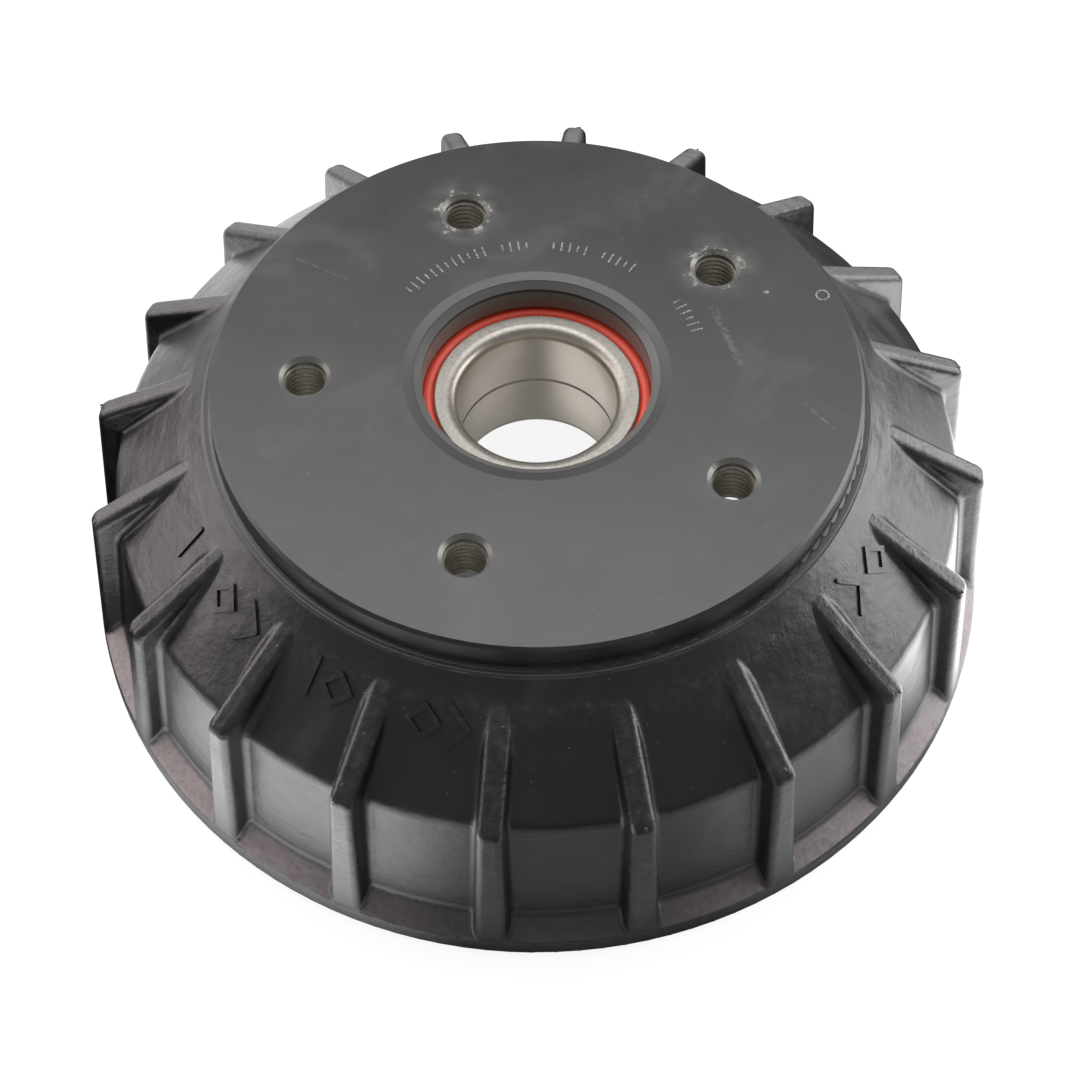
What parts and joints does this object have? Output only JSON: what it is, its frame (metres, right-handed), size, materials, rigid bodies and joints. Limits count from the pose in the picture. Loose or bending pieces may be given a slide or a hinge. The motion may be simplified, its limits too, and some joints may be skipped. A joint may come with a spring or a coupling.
{
  "type": "brake drum hub",
  "caption": "Ribbed cast-iron brake drum with an integral wheel hub, a tapped wheel-bolt circle and a pressed-in sealed double-row ball bearing.",
  "frame": {"origin": "on the hub axis, in the plane of the open rim that the part stands on", "axes": "+Z along the hub axis from the open rim to the wheel face; +X and +Y lie in the rim plane, with a wheel-bolt hole 37 degrees from +X towards +Y"},
  "size_m": [0.233, 0.233, 0.077],
  "materials": {
    "painted_casting": "satin black paint over a shot-blasted iron casting, bare and machined inside",
    "bearing_steel": "ground and hardened bearing steel",
    "ball_steel": "lapped bearing balls",
    "cage_polymer": "moulded glass-filled nylon",
    "seal_rubber": "moulded orange-red rubber",
    "seal_steel": "pressed sheet steel",
    "spring_steel": "phosphated spring steel"
  },
  "bodies": {
    "drum": {"brake_drum": "painted_casting", "bearing_outer_ring": "bearing_steel", "seal_shield_outboard": "seal_steel", "seal_shield_inboard": "seal_steel", "seal_rubber_outboard": "seal_rubber", "seal_rubber_inboard": "seal_rubber", "bearing_circlip": "spring_steel"},
    "inner_rings": {"inner_ring_outboard": "bearing_steel", "inner_ring_inboard": "bearing_steel", "inner_ring_clip": "spring_steel"},
    "outboard_row": {"balls_outboard": "ball_steel", "cage_outboard": "cage_polymer"},
    "inboard_row": {"balls_inboard": "ball_steel", "cage_inboard": "cage_polymer"}
  },
  "joints": [
    {"name": "inner_ring_spin", "type": "hinge", "parent": "drum", "child": "inner_rings", "pos_m": [0, 0, 0.0503], "axis": [0, 0, 1], "continuous": true},
    {"name": "outboard_row_orbit", "type": "hinge", "parent": "drum", "child": "outboard_row", "pos_m": [0, 0, 0.0578], "axis": [0, 0, 1], "continuous": true},
    {"name": "inboard_row_orbit", "type": "hinge", "parent": "drum", "child": "inboard_row", "pos_m": [0, 0, 0.0428], "axis": [0, 0, 1], "continuous": true}
  ],
  "couplings": [
    {"joint": "outboard_row_orbit", "follows": "inner_ring_spin", "ratio": 0.431},
    {"joint": "inboard_row_orbit", "follows": "inner_ring_spin", "ratio": 0.431}
  ]
}
